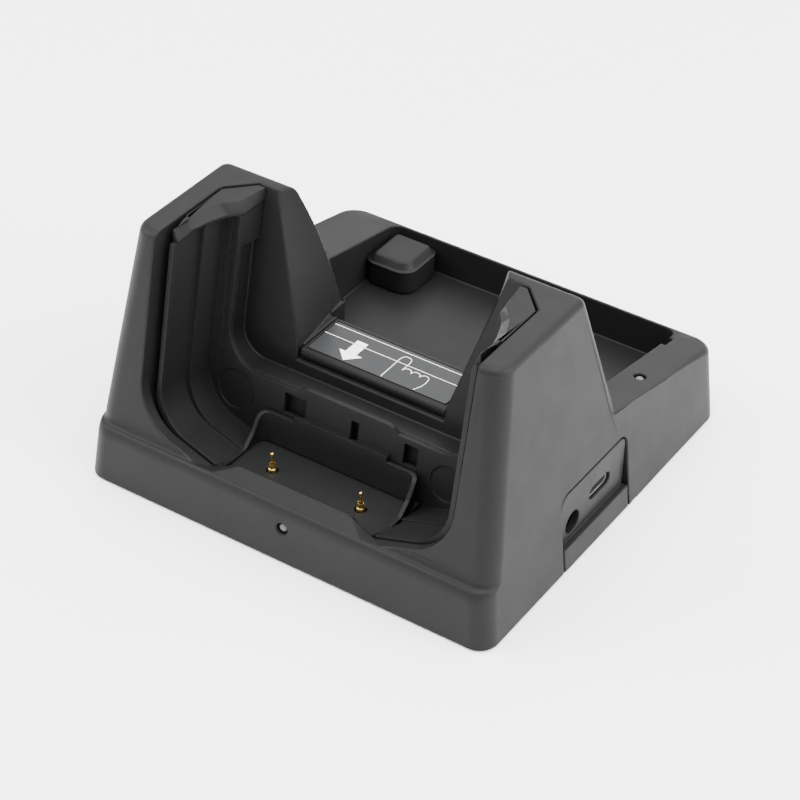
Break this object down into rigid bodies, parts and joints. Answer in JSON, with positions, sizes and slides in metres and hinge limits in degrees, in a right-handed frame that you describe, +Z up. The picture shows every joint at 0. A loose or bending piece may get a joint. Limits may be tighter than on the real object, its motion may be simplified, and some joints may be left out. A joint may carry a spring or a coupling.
{
  "type": "handheld terminal charging cradle",
  "caption": "Desktop charging cradle: two towers form a leaning slot with spring contacts for a handheld terminal, and an open bay behind charges a spare battery held by a sliding latch.",
  "frame": {"origin": "middle of the footprint, on the surface that the rubber feet stand on", "axes": "+X to the user's right (the side with the sockets), +Y to the back (the battery bay), +Z up"},
  "size_m": [0.1124, 0.109, 0.066],
  "materials": {
    "case_plastic": "fine matte texture, charcoal",
    "insert_plastic": "fine matte texture, charcoal",
    "label_film": "satin printed film with white line art",
    "rubber": "matte",
    "gold_contact": "polished gold plate",
    "steel": "bright",
    "circuit_board": "green solder mask",
    "black_plastic": "satin moulding",
    "lens": "frosted light pipe"
  },
  "bodies": {
    "housing": {"upper_housing": "case_plastic", "bottom_cover": "case_plastic", "device_insert": "insert_plastic", "port_panel": "case_plastic", "bay_corner_block": "insert_plastic", "latch_spring_left": "steel", "latch_spring_right": "steel", "pogo_barrel_left": "gold_contact", "pogo_barrel_right": "gold_contact", "contact_board": "circuit_board", "main_board": "circuit_board", "port_board": "circuit_board", "board_riser": "black_plastic", "usb_c_shell": "steel", "usb_c_tongue": "black_plastic", "dc_jack": "black_plastic", "dc_jack_pin": "steel", "front_led_lens": "lens", "deck_led_lens": "lens", "battery_contact_block": "black_plastic", "rubber_foot_1": "rubber", "rubber_foot_2": "rubber", "rubber_foot_3": "rubber", "rubber_foot_4": "rubber", "case_screw_1": "steel", "case_screw_2": "steel", "case_screw_3": "steel", "case_screw_4": "steel"},
    "latch": {"latch_bar": "case_plastic", "latch_label": "label_film"},
    "pin_left": {"pogo_plunger_left": "gold_contact"},
    "pin_right": {"pogo_plunger_right": "gold_contact"},
    "contact_1": {"battery_contact_1": "gold_contact"},
    "contact_2": {"battery_contact_2": "gold_contact"},
    "contact_3": {"battery_contact_3": "gold_contact"},
    "contact_4": {"battery_contact_4": "gold_contact"}
  },
  "joints": [
    {"name": "latch_slide", "type": "slide", "parent": "housing", "child": "latch", "axis": [0, -1, 0], "range_m": [0, 0.0025], "stiffness_N_per_m": 400, "springref_m": -0.001, "deforming": ["latch_spring_left", "latch_spring_right"]},
    {"name": "pin_left_press", "type": "slide", "parent": "housing", "child": "pin_left", "axis": [0, 0, -1], "range_m": [0, 0.002], "stiffness_N_per_m": 300, "springref_m": -0.0005},
    {"name": "pin_right_press", "type": "slide", "parent": "housing", "child": "pin_right", "axis": [0, 0, -1], "range_m": [0, 0.002], "stiffness_N_per_m": 300, "springref_m": -0.0005},
    {"name": "contact_1_press", "type": "slide", "parent": "housing", "child": "contact_1", "axis": [0, -1, 0], "range_m": [0, 0.0012], "stiffness_N_per_m": 300, "springref_m": -0.0005},
    {"name": "contact_2_press", "type": "slide", "parent": "housing", "child": "contact_2", "axis": [0, -1, 0], "range_m": [0, 0.0012], "stiffness_N_per_m": 300, "springref_m": -0.0005},
    {"name": "contact_3_press", "type": "slide", "parent": "housing", "child": "contact_3", "axis": [0, -1, 0], "range_m": [0, 0.0012], "stiffness_N_per_m": 300, "springref_m": -0.0005},
    {"name": "contact_4_press", "type": "slide", "parent": "housing", "child": "contact_4", "axis": [0, -1, 0], "range_m": [0, 0.0012], "stiffness_N_per_m": 300, "springref_m": -0.0005}
  ]
}
